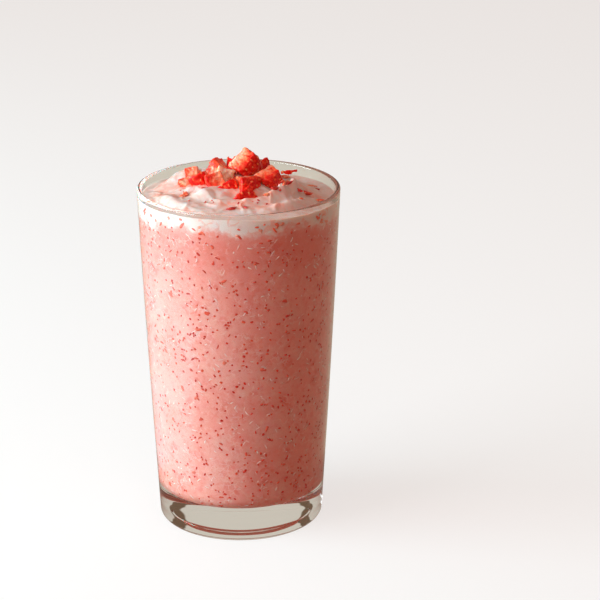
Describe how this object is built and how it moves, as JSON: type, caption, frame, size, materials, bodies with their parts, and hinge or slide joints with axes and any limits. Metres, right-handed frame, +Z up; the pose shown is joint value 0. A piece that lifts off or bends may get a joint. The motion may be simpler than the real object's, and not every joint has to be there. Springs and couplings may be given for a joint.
{
  "type": "frappe in a glass",
  "caption": "Pink strawberry frappe in a tall straight-sided glass, topped with a mound of whipped cream and chopped strawberry pieces.",
  "frame": {"origin": "middle of the glass's foot, on the surface that it stands on", "axes": "+Z up along the glass's axis, -Y towards the front that the picture shows, +X to the right seen from the front"},
  "size_m": [0.08, 0.08, 0.1533],
  "materials": {
    "glass": "clear, smooth and polished",
    "drink": "thick pink drink with darker red flecks and paler pulp",
    "cream": "whipped cream, soft satin, washed with pink juice in places",
    "strawberry": "fresh cut strawberry, wet red skin with seeds and paler flesh"
  },
  "bodies": {
    "root": {"glass": "glass", "drink": "drink", "cream": "cream", "strawberry_peak": "strawberry", "strawberry_dome": "strawberry", "strawberry_pale": "strawberry", "strawberry_core": "strawberry", "strawberry_left_far": "strawberry", "strawberry_ring": "strawberry", "strawberry_left_near": "strawberry", "strawberry_front": "strawberry", "strawberry_front_low": "strawberry", "strawberry_arch": "strawberry", "strawberry_right": "strawberry", "strawberry_right_far": "strawberry", "strawberry_strip": "strawberry", "strawberry_between": "strawberry", "strawberry_back": "strawberry", "strawberry_back_left": "strawberry"}
  },
  "joints": []
}
